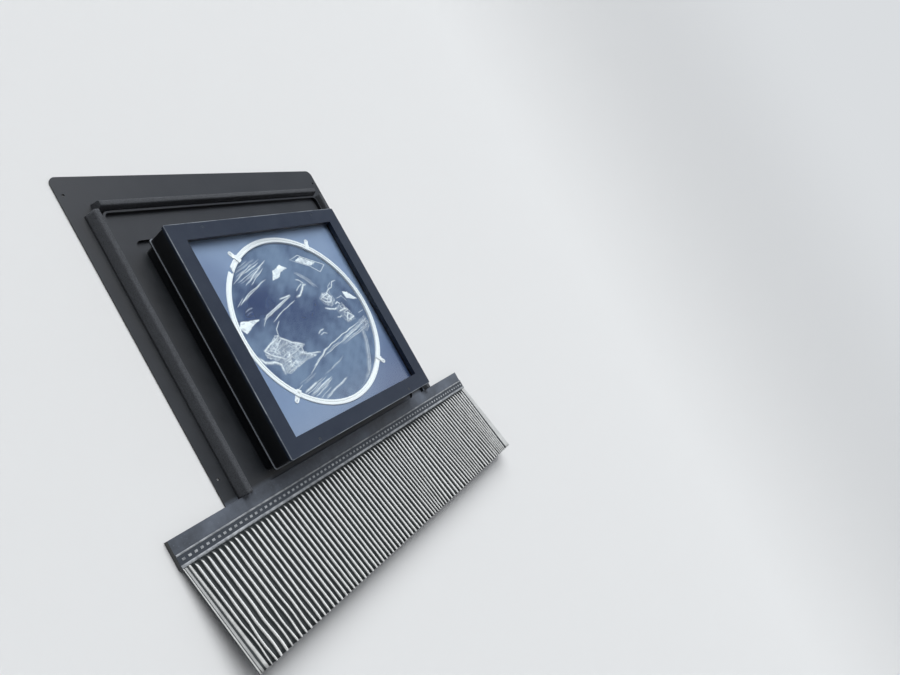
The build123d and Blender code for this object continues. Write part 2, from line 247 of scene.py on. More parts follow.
paper, tree, surface = finish_named(
    "matt_backdrop_paper", **{"Base Color": linear("#dcdedf"), "Roughness": 0.9})
place = add(tree, "NewGeometry")
height = add(tree, "SeparateXYZ", {"Vector": place.outputs["Position"]})
rise = add(tree, "MapRange", {"Value": height.outputs["Z"], "From Max": GLOW_FULL_Z},
           interpolation_type="SMOOTHSTEP")
seen = seen_directly(tree)
share = add(tree, "Math", {0: seen.outputs[0], 1: rise.outputs[0]}, operation="MULTIPLY")
aside = add(tree, "MapRange", {"Value": height.outputs["Y"], "From Min": WHITE_UP_TO_Y,
                               "From Max": BLUE_FROM_Y})
card = add(tree, "Mix", {0: aside.outputs[0], A_COLOUR: linear("#ffffff"), B_COLOUR: linear("#97aac9")},
           data_type="RGBA")
high = add(tree, "MapRange", {"Value": height.outputs["Z"], "From Min": CARD_FROM_Z,
                              "From Max": CARD_FULL_Z})
paper_tone = add(tree, "Mix", {0: high.outputs[0], A_COLOUR: linear(PALE),
                               B_COLOUR: card.outputs[MIXED]}, data_type="RGBA")
glow = add(tree, "Emission", {"Color": paper_tone.outputs[MIXED]})
both = add(tree, "MixShader", {0: share.outputs[0], 1: surface.outputs[0], 2: glow.outputs[0]})
show_shader(tree, both)

sweep = make_sweep()
sweep.data.materials.append(paper)
sweep.visible_shadow = False
sweep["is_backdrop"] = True
print("white and blue above", CARD_FROM_Z, "m on", sweep.name)

# %% [markdown]
# ## Light
# The photograph has its light high on the right and beyond the skylight, broad but with a
# direction: the cover's near wall and the pleats' near sides are dark. One sun with a wide angle
# gives that, and a dim even world fills what it leaves. A black flag lies under the camera and goes
# up behind it and over it. It lights and shades nothing, but shiny sides that face the camera mirror
# it and go dark.

# %% Sun
SUN_AZIMUTH = 88.0
SUN_ELEVATION = 50.0
SUN_ANGLE = 55.0
SUN_STRENGTH = 3.3

azimuth = radians(SUN_AZIMUTH)
elevation = radians(SUN_ELEVATION)
sun = put("key", bpy.data.lights.new("key", "SUN"))
towards = Vector((cos(azimuth) * cos(elevation), sin(azimuth) * cos(elevation), sin(elevation)))
sun.rotation_euler = towards.to_track_quat("Z", "Y").to_euler()
sun.data.energy = SUN_STRENGTH
sun.data.angle = radians(SUN_ANGLE)
print("sun towards", [round(v, 2) for v in towards])

# %% World
FILL = 0.2
FILL_BLUE = 1.05

world = bpy.data.worlds.new("world")
world.use_nodes = True
scene.world = world
tree = world.node_tree
tree.nodes.clear()
seen = seen_directly(tree)
tone = add(tree, "Mix", {0: seen.outputs[0], A_COLOUR: (FILL, FILL, FILL * FILL_BLUE, 1),
                         B_COLOUR: linear(PALE)}, data_type="RGBA")
sky = add(tree, "Background", {"Color": tone.outputs[MIXED]})
add(tree, "OutputWorld", {"Surface": sky.outputs[0]})
print("fill light:", FILL)

# %% Black flag
FLAG_Z = 3.0
FLAG_ENDS = (-3.0, 2.4)

felt, _, _ = finish_named(
    "black_felt_flag", **{"Base Color": linear("#0a0a0b"), "Roughness": 1.0, "Specular IOR Level": 0.0})
side_line = [(-0.8, 0.002), (-2.6, 0.002), (-2.6, 2.2), (-1.6, FLAG_Z), (0.6, FLAG_Z)]
verts = [(x, y, z) for x, z in side_line for y in FLAG_ENDS]
faces = [(2 * i, 2 * i + 1, 2 * i + 3, 2 * i + 2) for i in range(len(side_line) - 1)]
flag = put("flag", new_mesh("flag", verts, faces, sharp=len(faces)))
flag.data.materials.append(felt)
flag.visible_camera = False
flag.visible_diffuse = False
flag.visible_shadow = False
flag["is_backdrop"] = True
print("flag at", FLAG_Z, "m, from", FLAG_ENDS[0], "to", FLAG_ENDS[1], "m")

# %% [markdown]
# ## Weather on smooth surfaces
# Lacquer and moulded plastic stand in the same rain. Dust stays on faces that look up, in soft
# blotches with small spots, and walls stay clean. The blotches are about 70 mm across and the spots
# about 3 mm. Three helpers lay the dust, one more colour over that,
# and the fine unevenness of mouldings and coatings.

# %% Weather helpers
BLOTCH_MM = 70
SPOT_MM = 3


def weather(tree, surface, clean, dust, share, gloss, dull):
    """Mixes dust over a clean colour on faces that look up, and takes the gloss off under it."""
    where = add(tree, "TexCoord").outputs["Object"]
    blotch = add(tree, "TexNoise", {"Vector": where, "Scale": per_mm(BLOTCH_MM), "Detail": 6.0,
                                    "Roughness": 0.65})
    spot = add(tree, "TexNoise", {"Vector": where, "Scale": per_mm(SPOT_MM)})
    few = add(tree, "MapRange", {"Value": spot.outputs["Fac"], "From Min": 0.66, "From Max": 0.74,
                                 "To Max": 0.5})
    soft = add(tree, "MapRange", {"Value": blotch.outputs["Fac"], "From Min": 0.3, "From Max": 0.7,
                                  "To Min": 0.4, "To Max": 1.3})
    facing = add(tree, "SeparateXYZ", {"Vector": add(tree, "NewGeometry").outputs["Normal"]})
    level = add(tree, "MapRange", {"Value": facing.outputs["Z"], "From Min": 0.35, "From Max": 0.95,
                                   "To Max": share})
    cover = add(tree, "Math", {0: soft.outputs[0], 1: few.outputs[0]}, operation="ADD")
    amount = add(tree, "Math", {0: cover.outputs[0], 1: level.outputs[0]}, operation="MULTIPLY",
                 use_clamp=True)
    colour = add(tree, "Mix", {0: amount.outputs[0], A_COLOUR: linear(clean), B_COLOUR: linear(dust)},
                 data_type="RGBA")
    paint(tree, surface, colour)
    sheen = add(tree, "MapRange", {"Value": amount.outputs[0], "To Min": gloss, "To Max": dull})
    tree.links.new(sheen.outputs[0], surface.inputs["Roughness"])
    return where


def over_colour(tree, surface, share, hex_colour):
    """Lays one more colour over what the surface has, by this node's share."""
    under = surface.inputs["Base Color"].links[0].from_socket
    laid = add(tree, "Mix", {0: share.outputs[0], A_COLOUR: under, B_COLOUR: linear(hex_colour)},
               data_type="RGBA")
    paint(tree, surface, laid)


def relief(tree, surface, where, spacing_mm, depth_mm):
    """A fine uneven surface, such as the orange peel of a lacquer or the grain of a mould."""
    grain = add(tree, "TexNoise", {"Vector": where, "Scale": per_mm(spacing_mm), "Detail": 3.0})
    bump = add(tree, "Bump", {"Height": grain.outputs["Fac"], "Distance": depth_mm * MM})
    tree.links.new(bump.outputs["Normal"], surface.inputs["Normal"])


print("dust in blotches of", BLOTCH_MM, "mm and spots of", SPOT_MM, "mm")

# %% [markdown]
# ## Cover: powder-coated aluminium
# The cover is sheet aluminium under a baked powder coat. The coat is an even blue-grey with a slight
# orange peel, satin rather than glossy, and along its outer edge it is painted a little lighter: a
# painted highlight where the rounded edge catches the sky, with a little wear.

# %% Cover lacquer
_, cover_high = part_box("cover_frame")
lacquer, tree, surface = finish_named(
    "powder_coated_aluminium_grey", **{"Roughness": 0.4, "Specular IOR Level": 0.3})
where = weather(tree, surface, clean="#172132", dust="#59616d", share=0.12, gloss=0.4, dull=0.64)
place = add(tree, "SeparateXYZ", {"Vector": where})
far_x = add(tree, "Math", {0: place.outputs["X"]}, operation="ABSOLUTE")
far_y = add(tree, "Math", {0: place.outputs["Y"]}, operation="ABSOLUTE")
far = add(tree, "Math", {0: far_x.outputs[0], 1: far_y.outputs[0]}, operation="MAXIMUM")
# Painted highlight, with some wear: a lighter band along the cover's outer top edge stands in for the glint
# on its rounded edge.
outer = add(tree, "MapRange", {"Value": far.outputs[0], "From Min": cover_high.x - 2.2 * MM,
                               "From Max": cover_high.x - 0.7 * MM})
near_top = add(tree, "MapRange", {"Value": place.outputs["Z"], "From Min": cover_high.z - 1.6 * MM,
                                  "From Max": cover_high.z - 0.4 * MM})
wear_and_highlight = add(tree, "Math", {0: outer.outputs[0], 1: near_top.outputs[0]}, operation="MULTIPLY")
worn = add(tree, "TexNoise", {"Vector": where, "Scale": per_mm(30), "Detail": 4.0})
patchy = add(tree, "MapRange", {"Value": worn.outputs["Fac"], "From Min": 0.35, "From Max": 0.6,
                                "To Min": 0.25, "To Max": 0.9})
wear_and_highlight = add(tree, "Math", {0: wear_and_highlight.outputs[0], 1: patchy.outputs[0]}, operation="MULTIPLY")
over_colour(tree, surface, wear_and_highlight, "#8f979f")
relief(tree, surface, where, spacing_mm=1.4, depth_mm=0.03)
coat_node(["cover_frame"], lacquer)

# %% [markdown]
# ## Black mouldings
# The tray and the glazing frame are outdoor plastic, black and moulded with a fairly smooth
# surface, so their walls go nearly black and only faces that look up show the sky and the dust. The
# frame's thin bead is painted bright, a painted highlight where its rounded edge catches the sky.
# Above the sill the tray is painted darker, a painted shade as from the tiles that lie over it there,
# and carries less dust.

# %% Glazing frame
BEAD_TOP = 32.0 * MM

frame_plastic, tree, surface = finish_named("moulded_asa_black_frame", Roughness=0.35)
where = weather(tree, surface, clean="#0c0e11", dust="#4d535b", share=0.45, gloss=0.3, dull=0.6)
place = add(tree, "SeparateXYZ", {"Vector": where})
# Painted highlight: a thin lighter band at the bead's top stands in for the glint on its rounded edge.
bead = add(tree, "MapRange", {"Value": place.outputs["Z"], "From Min": BEAD_TOP - 1.0 * MM,
                              "From Max": BEAD_TOP - 0.6 * MM})
over = add(tree, "MapRange", {"Value": place.outputs["Z"], "From Min": BEAD_TOP + 0.1 * MM,
                              "From Max": BEAD_TOP + 0.3 * MM, "To Min": 1.0, "To Max": 0.0})
bright = add(tree, "Math", {0: bead.outputs[0], 1: over.outputs[0]}, operation="MULTIPLY")
over_colour(tree, surface, bright, "#70767d")
relief(tree, surface, where, spacing_mm=0.9, depth_mm=0.015)
coat_node(["glazing_frame"], frame_plastic)

# %% Tray
SILL_Y = -246.0 * MM

tray_plastic, tree, surface = finish_named("moulded_polypropylene_tray", Roughness=0.4)
where = weather(tree, surface, clean="#101317", dust="#6d7684", share=0.55, gloss=0.36, dull=0.65)
place = add(tree, "SeparateXYZ", {"Vector": where})
# Painted shade: above the sill the tray is mixed towards a darker black, as under the tiles that lie over it
# there; this also hides most of the dust.
tile_shade_and_less_dust = add(tree, "MapRange", {"Value": place.outputs["Y"], "From Min": SILL_Y,
                                   "From Max": SILL_Y + 8 * MM, "To Max": 0.9})
over_colour(tree, surface, tile_shade_and_less_dust, "#14171b")
relief(tree, surface, where, spacing_mm=1.2, depth_mm=0.02)
coat_node(["flashing_tray"], tray_plastic)

# %% [markdown]
# ## Screws, rubber and the tube's end
# The screws are steel with a black passivated finish. The seals are EPDM rubber, which is matt. The
# tube's end is aluminium with a mirror finish, because it has to pass light on down the tube.

# %% Steel, rubber and mirror aluminium


def plain(name, colour, roughness, spacing_mm, depth_mm, names, metallic=0.0):
    """A finish of one colour with a fine relief, put on these nodes."""
    material, tree, surface = finish_named(
        name, **{"Base Color": linear(colour), "Metallic": metallic, "Roughness": roughness})
    relief(tree, surface, add(tree, "TexCoord").outputs["Object"], spacing_mm, depth_mm)
    coat_node(names, material)


plain("black_passivated_steel", "#4a4f55", roughness=0.35, spacing_mm=0.6, depth_mm=0.01,
      names=["cover_screws", "frame_screws", "adapter_screws"], metallic=1.0)
plain("epdm_rubber", "#17191b", roughness=0.7, spacing_mm=0.8, depth_mm=0.02,
      names=["glass_gasket", "cover_gasket"])
plain("mirror_finished_aluminium", "#e3e8ec", roughness=0.12, spacing_mm=9.0, depth_mm=0.02,
      names=["tube_adapter"], metallic=1.0)

# %% [markdown]
# ## Ring, clips and panel under the pane
# Ring and clips are white PVC, smooth and a little glossy. The panel round them is a grey moulding
# that looks blue-grey, with a darker corner and a dim place, because of what the pane mirrors. The
# studio's wall is even, so the panel's own colour stands for that.

# %% White plastic
plain("moulded_pvc_white", "#fdfefb", roughness=0.35, spacing_mm=2.0, depth_mm=0.02,
      names=["tube_ring"] + [n for n in sorted(nodes) if n.startswith("ring_clip")])

# %% Panel
DIM_PLACE = (-0.19, 0.105, 0.06)

panel, tree, surface = finish_named("moulded_polystyrene_panel", Roughness=0.5)
where = add(tree, "TexCoord").outputs["Object"]
haze_and_reflection = add(tree, "TexNoise", {"Vector": where, "Scale": per_mm(140), "Detail": 3.0})
tone = add(tree, "Mix", {0: haze_and_reflection.outputs["Fac"], A_COLOUR: linear("#67799a"),
                         B_COLOUR: linear("#8fa2ba")}, data_type="RGBA")
place = add(tree, "SeparateXYZ", {"Vector": where})
corner = add(tree, "Math", {0: place.outputs["X"], 1: place.outputs["Y"]}, operation="SUBTRACT")
shade = add(tree, "MapRange", {"Value": corner.outputs[0], "From Min": 0.12, "From Max": 0.36,
                               "To Max": 0.85}, interpolation_type="SMOOTHSTEP")
tone = add(tree, "Mix", {0: shade.outputs[0], A_COLOUR: tone.outputs[MIXED],
                         B_COLOUR: linear("#3c4d72")}, data_type="RGBA")
gap = add(tree, "VectorMath", {0: where, 1: DIM_PLACE}, operation="DISTANCE")
dim = add(tree, "MapRange", {"Value": gap.outputs["Value"], "From Min": 0.03, "From Max": 0.09,
                             "To Min": 0.5, "To Max": 0.0}, interpolation_type="SMOOTHSTEP")
tone = add(tree, "Mix", {0: dim.outputs[0], A_COLOUR: tone.outputs[MIXED], B_COLOUR: linear("#4a5a7c")},
           data_type="RGBA")
paint(tree, surface, tone)
relief(tree, surface, where, spacing_mm=1.5, depth_mm=0.02)
coat_node(["inner_panel"], panel)

# %% [markdown]
# ## Pane: toughened float glass
# Glass is Principled with full transmission and its usual IOR of 1.5. A renderer has no quick way
# to send a lamp's light through real glass, so shadow rays and scattered light pass it straight,
# and what lies under the pane is lit as it would be.

# %% Glass
glass, tree, surface = finish_named(
    "toughened_float_glass", **{"Base Color": linear("#fafdff"), "Roughness": 0.0, "IOR": 1.5,
                                "Transmission Weight": 1.0})
ray = add(tree, "LightPath")
clear = add(tree, "BsdfTransparent", {"Color": linear("#fafdff")})
passing = add(tree, "Math", {0: ray.outputs["Is Shadow Ray"], 1: ray.outputs["Is Diffuse Ray"]},
              operation="MAXIMUM")
both = add(tree, "MixShader", {0: passing.outputs[0], 1: surface.outputs[0], 2: clear.outputs[0]})
show_shader(tree, both)
coat_node(["glass_pane"], glass)

# %% [markdown]
# ## Strip: pressed aluminium
# The strip that holds the apron is plain aluminium gone dull and dark outdoors. Its two beads are
# painted brighter: a painted highlight where they stand proud and catch the sky, with a little wear.

# %% Strip
PLATE = 1.4 * MM

strip_low, strip_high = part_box("apron_strip")
plate_top = strip_low.z + PLATE
strip_metal, tree, surface = finish_named(
    "weathered_aluminium_strip", Metallic=0.3, Roughness=0.5)
where = add(tree, "TexCoord").outputs["Object"]
place = add(tree, "SeparateXYZ", {"Vector": where})
# Painted highlight, with some wear: the raised beads above the plate are mixed towards a light grey.
proud = add(tree, "MapRange", {"Value": place.outputs["Z"], "From Min": plate_top + 0.15 * MM,
                               "From Max": plate_top + 0.6 * MM})
upper = add(tree, "MapRange", {"Value": place.outputs["Y"], "From Min": strip_high.y - 5 * MM,
                               "From Max": strip_high.y - 4 * MM, "To Min": 1.0, "To Max": 0.8})
worn = add(tree, "TexNoise", {"Vector": where, "Scale": per_mm(9), "Detail": 4.0})
patchy = add(tree, "MapRange", {"Value": worn.outputs["Fac"], "From Min": 0.35, "From Max": 0.65,
                                "To Min": 0.4, "To Max": 1.0})
wear_and_highlight = add(tree, "Math", {0: proud.outputs[0], 1: upper.outputs[0]}, operation="MULTIPLY")
wear_and_highlight = add(tree, "Math", {0: wear_and_highlight.outputs[0], 1: patchy.outputs[0]}, operation="MULTIPLY")
tone = add(tree, "Mix", {0: wear_and_highlight.outputs[0], A_COLOUR: linear("#383e46"), B_COLOUR: linear("#abafb3")},
           data_type="RGBA")
paint(tree, surface, tone)
relief(tree, surface, where, spacing_mm=1.0, depth_mm=0.02)
coat_node(["apron_strip"], strip_metal)

# %% [markdown]
# ## Apron: pleated aluminium, lacquered
# Thin lacquered aluminium is pleated so that it can be pressed by hand to an uneven roof. Its
# colour carries painted light: the crests are near white, a painted highlight of the bright sky that
# they mirror, and the troughs and steep sides are dark and dull, a painted shade where the pleats
# hide each other from the sky. The sheet stores on each point how deep it lies, and that value turns
# the painted highlight into the painted shade.

# %% Apron lacquer
apron_metal, tree, surface = finish_named("lacquered_aluminium_apron")
where = add(tree, "TexCoord").outputs["Object"]
deep = add(tree, "Attribute", attribute_name="depth").outputs["Fac"]
stain = add(tree, "TexNoise", {"Vector": where, "Scale": per_mm(24), "Detail": 4.0})
shift = add(tree, "MapRange", {"Value": stain.outputs["Fac"], "From Min": 0.3, "From Max": 0.7,
                               "To Min": -0.07, "To Max": 0.07})
place = add(tree, "SeparateXYZ", {"Vector": where})
to_end = add(tree, "Math", {0: place.outputs["X"]}, operation="ABSOLUTE")
even = add(tree, "MapRange", {"Value": to_end.outputs[0], "From Min": strip_high.x - 26 * MM,
                              "From Max": strip_high.x - 16 * MM, "To Min": 1.0, "To Max": 0.2})
shift = add(tree, "Math", {0: shift.outputs[0], 1: even.outputs[0]}, operation="MULTIPLY")
level = add(tree, "Math", {0: deep, 1: shift.outputs[0]}, operation="ADD")
# Painted light: 0 gives the near-white painted highlight of the crests, 1 the dark, dull painted shade of
# the troughs and steep sides.
highlight_to_shade = add(tree, "MapRange", {"Value": level.outputs[0], "From Min": 0.08, "From Max": 0.42},
            interpolation_type="SMOOTHSTEP")
tone = add(tree, "Mix", {0: highlight_to_shade.outputs[0], A_COLOUR: linear("#f5f7f6"), B_COLOUR: linear("#272d2f")},
           data_type="RGBA")
paint(tree, surface, tone)
for socket, crest_value, deep_value in (("Metallic", 0.45, 0.1), ("Roughness", 0.27, 0.62)):
    turn = add(tree, "MapRange", {"Value": highlight_to_shade.outputs[0], "To Min": crest_value, "To Max": deep_value})
    tree.links.new(turn.outputs[0], surface.inputs[socket])
print("finish:", apron_metal.name)

# %% [markdown]
# ## Apron: the sheet
# A pleat could be one shape repeated by an array, but the real sheet was bent by hand: its pleats
# start low at the strip, lean to the right by an uneven amount, wander a little and are crushed at
# the lower left. So every point of the sheet is worked out from three things: how far across it is,
# how far down, and which pleat it belongs to.

# %% Pleat profile
apron_low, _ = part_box("apron")
HEAD_Y = strip_low.y / MM
TAIL_Y = apron_low.y / MM
HEAD_Z = strip_low.z / MM
HALF_W = strip_high.x / MM
TAB = 18.0
RISE = 30.0
PITCH = 11.36
PLEATS = 77
OFF_CENTRE = -3.0
PLEAT_H = 5.5
CREST = 2.5
TROUGH = 3.2
SHEET = 0.5
FOLD = 0.35

slope = (PITCH - CREST - TROUGH) / 2
first = OFF_CENTRE + (TROUGH - PLEATS * PITCH) / 2
# One pleat: how far across from its start in millimetres, and its height as a share of the whole.
one_pleat = [(-TROUGH / 2, 0.0), (-FOLD, 0.0), (FOLD, 0.10), (slope - FOLD, 0.90), (slope + FOLD, 0.99),
             (slope + CREST / 2, 1.0), (slope + CREST - FOLD, 0.99), (slope + CREST + FOLD, 0.90),
             (2 * slope + CREST - FOLD, 0.10), (2 * slope + CREST + FOLD, 0.0)]
across = [(first + k * PITCH + dx, h * PLEAT_H, k) for k in range(PLEATS) for dx, h in one_pleat]
# The flat ends with their beads: how far in from the edge and how high, in millimetres.
left_hem = [(0.0, 0.4), (0.5, 1.5), (1.8, 1.7), (2.8, 0.9), (3.4, 0.45), (4.2, 0.7), (7.2, 0.6),
            (7.8, 0.46), (9.8, 0.47), (10.6, 0.9), (11.4, 1.5), (12.6, 1.8), (13.6, 1.7), (14.2, 0.2)]
right_hem = [(0.0, 0.3), (0.4, 1.3), (1.6, 1.6), (3.0, 1.3), (4.4, 1.5), (9.0, 1.3), (12.0, 1.7),
             (12.8, 1.2), (13.2, 0.4), (18.0, 0.4), (20.2, 0.0)]
left_end = [(-HALF_W + dx, h, -1) for dx, h in left_hem]
right_end = [(HALF_W - dx, h, PLEATS) for dx, h in reversed(right_hem)]
columns = left_end + across + right_end
print("pleats:", PLEATS, "columns:", len(columns))

# %% Sheet helpers
TINY = 1e-12


def smooth_step(value):
    """Eased from 0 to 1, and level outside that."""
    value = np.clip(value, 0.0, 1.0)
    return value * value * (3.0 - 2.0 * value)


def grid_faces(rows, count):
    """The four-cornered faces of a grid, counted row by row."""
    start = (np.arange(rows - 1)[:, None] * count + np.arange(count - 1)[None, :]).ravel()
    return np.stack([start, start + 1, start + count + 1, start + count], axis=1)


def two_sided(top, thickness):
    """A sheet of this thickness under a grid of points: top, underside and the four cut edges."""
    rows, count, _ = top.shape
    along = np.gradient(top, axis=0)
    over = np.gradient(top, axis=1)
    normal = np.cross(along, over)
    normal *= np.sign(normal[..., 2:3] + TINY)
    normal /= np.linalg.norm(normal, axis=2, keepdims=True)
    low = top - normal * thickness
    verts = np.concatenate([top.reshape(-1, 3), low.reshape(-1, 3)])
    upper = grid_faces(rows, count)[:, ::-1]
    shift = rows * count
    lower = upper[:, ::-1] + shift
    index = np.arange(shift).reshape(rows, count)
    rim = np.concatenate([index[0, :], index[1:, -1], index[-1, -2::-1], index[-2:0:-1, 0]])
    after = np.roll(rim, -1)
    edges = np.stack([rim, after, after + shift, rim + shift], axis=1)
    return verts, np.concatenate([upper, lower]), edges


def store(mesh, name, values):
    """Keeps one number on each point of a mesh, for its finish to read."""
    stored = mesh.attributes.new(name, "FLOAT", "POINT")
    stored.data.foreach_set("value", values.astype(np.float32))


def solid_sheet(name, top, thickness, depth):
    """One mesh object for a sheet, smooth on its faces and sharp at its cut edges."""
    verts, faces, edges = two_sided(top, thickness)
    everything = np.concatenate([faces, edges]).tolist()
    mesh = new_mesh(name, (verts * MM).tolist(), everything, sharp=len(edges))
    store(mesh, "depth", np.concatenate([depth.ravel(), np.ones(depth.size)]))
    return put(name, mesh)


print("eased halfway:", smooth_step(0.5))

# %% [markdown]
# ## Apron: from profile to sheet
# Each row of points across the sheet repeats the profile. It is moved sideways by the lean, by each
# pleat's own wander and, at the lower left, by the waves that crushing left. The rows lie close
# together at the strip, where the pleats rise, and further apart below it.

# %% Apron points
# How far each place across has moved sideways at the sheet's lower edge, both in millimetres. The
# values follow the crests in the photograph.
DRIFT = [(-455, 9.5), (-446, 12.0), (-441, 15.2), (-435, 13.2), (-423, 10.3), (-412, 9.9), (-400, 11.7),
         (-332, 11.5), (-253, 12.0), (-219, 10.8), (-162, 12.1), (-105, 11.2), (-48, 13.7), (-14, 15.9),
         (42, 18.3), (65, 14.1), (88, 8.9), (111, 4.9), (122, 6.6), (145, 11.4), (167, 17.2),
         (190, 21.9), (213, 22.3), (247, 18.9), (281, 14.3), (292, 15.0), (326, 19.4), (360, 22.6),
         (383, 17.4), (406, 9.9), (429, 1.0), (440, 2.0), (455, 9.5)]
# Distance of each row from the strip, first the close ones and then the even ones.
CLOSE_ROWS = [0.0, 0.8, 1.6, 2.4, 3.4, 5.0, 7.5, 11.0]
EVEN_FROM = 18.0
EVEN_ROWS = 21
# Each pleat bends a little at these shares of the way down, and hooks to the left at the strip.
BEND_AT = [0.0, 0.35, 0.7, 1.0]
BEND = 0.28
HOOK = 2.2
HOOK_REACH = 4.0
# How crushed a pleat is, counted from the left, with -1 for the flat end. It starts partly down.
CRUSHED = [(-1, 0.0), (0, 1.0), (3, 1.0), (10, 0.5), (15, 0.0), (77, 0.0)]
CRUSH_FROM = 0.45
CRUSH_OVER = 0.3
SWING = 1.1
SWING_STEP = 14.0
SWING_STARTS = 6.28

draw = np.random.default_rng(11)
down = np.concatenate([CLOSE_ROWS, np.linspace(EVEN_FROM, HEAD_Y - TAIL_Y, EVEN_ROWS)])
way_down = (down / (HEAD_Y - TAIL_Y))[:, None]
flat_x, profile, pleat = np.array(columns).T
pleat = pleat.astype(int)
inside = (pleat >= 0) & (pleat < PLEATS)
lane = pleat + 1
lanes = PLEATS + 2

fan = np.interp(flat_x, *zip(*DRIFT))
bends = draw.normal(0.0, BEND, (len(BEND_AT), lanes))
bends[0] = 0.0
eased = smooth_step(way_down[:, 0]) * 0.5 + way_down[:, 0] * 0.5
wander = np.array([np.interp(eased, BEND_AT, bends[:, k]) for k in range(lanes)]).T
wander = wander - HOOK * np.exp(-down[:, None] / HOOK_REACH)
crushed = np.interp(np.arange(-1, PLEATS + 1), *zip(*CRUSHED))
wave = np.sin(down[:, None] / SWING_STEP + draw.uniform(0, SWING_STARTS, lanes))
wander += wave * crushed * SWING * smooth_step((way_down - CRUSH_FROM) / CRUSH_OVER)
wander[:, [0, -1]] = 0.0
x = flat_x + fan * way_down + wander[:, lane]
print("rows:", len(down), "largest lean in mm:", round(fan.max(), 1))

# %% Apron heights and dirt
HEAD_HEIGHT = 0.75
HEAD_RISE = 7.0
UNEVEN = 0.03
PRESSED = 0.16
HEAD_SHADE = 0.55
HEAD_SHADE_REACH = 6.0
CRUSHED_DARKER = 0.22
DARKER_FROM = 0.5
# Painted shade on the flat ends by their height in millimetres, and its share on the last pleats by number.
END_SHADE = [(0.4, 0.8), (0.5, 0.28), (0.9, 0.27), (1.7, 0.22)]
LAST_SHADE = [(68, 1.0), (72, 0.8)]

started = HEAD_HEIGHT + (1 - HEAD_HEIGHT) * smooth_step(down / HEAD_RISE)[:, None]
tall = 1.0 + draw.normal(0.0, UNEVEN, lanes) - PRESSED * crushed * way_down
h = np.where(inside, profile * started * tall[:, lane], profile)
y = np.broadcast_to(HEAD_Y - down[:, None], x.shape)
z = HEAD_Z + RISE * way_down + h
sunk = 1.0 - profile / PLEAT_H
# Painted shade: the pleats are darker near the strip, where their open heads lie in shade.
head_shade = np.exp(-down[:, None] / HEAD_SHADE_REACH)
low_down = smooth_step((way_down - DARKER_FROM) / CRUSH_OVER)
# Random pleats are darker on the crushed lower left.
crushed_darker = draw.uniform(0.0, CRUSHED_DARKER, lanes) * crushed * low_down
last_share = np.interp(pleat, *zip(*LAST_SHADE))
on_pleats = (sunk + HEAD_SHADE * head_shade) * last_share + crushed_darker[:, lane]
depth = np.where(inside, on_pleats, np.interp(profile, *zip(*END_SHADE)))
print("highest crest in mm:", round(h.max(), 2))

# %% Apron and its tab
TAB_COLUMNS = 40
TAB_SUNK = 0.1
# Painted shade: the tab lies under the strip and is drawn dark.
TAB_SHADE = 0.8

apron = solid_sheet("pleated_apron", np.stack([x, y, z], axis=2), SHEET, depth)
tab_x = np.linspace(-HALF_W, HALF_W, TAB_COLUMNS)
tab_y = (HEAD_Y + TAB, HEAD_Y)
tab_top = np.array([[(across_x, slope_y, HEAD_Z - TAB_SUNK) for across_x in tab_x] for slope_y in tab_y])
tab = solid_sheet("apron_tab", tab_top, SHEET, np.full(tab_top.shape[:2], TAB_SHADE))
tab.data.materials.append(apron_metal)
tab.parent = apron
apron.data.materials.append(apron_metal)
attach(apron, "root")
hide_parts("apron")
print("apron faces:", len(apron.data.polygons))
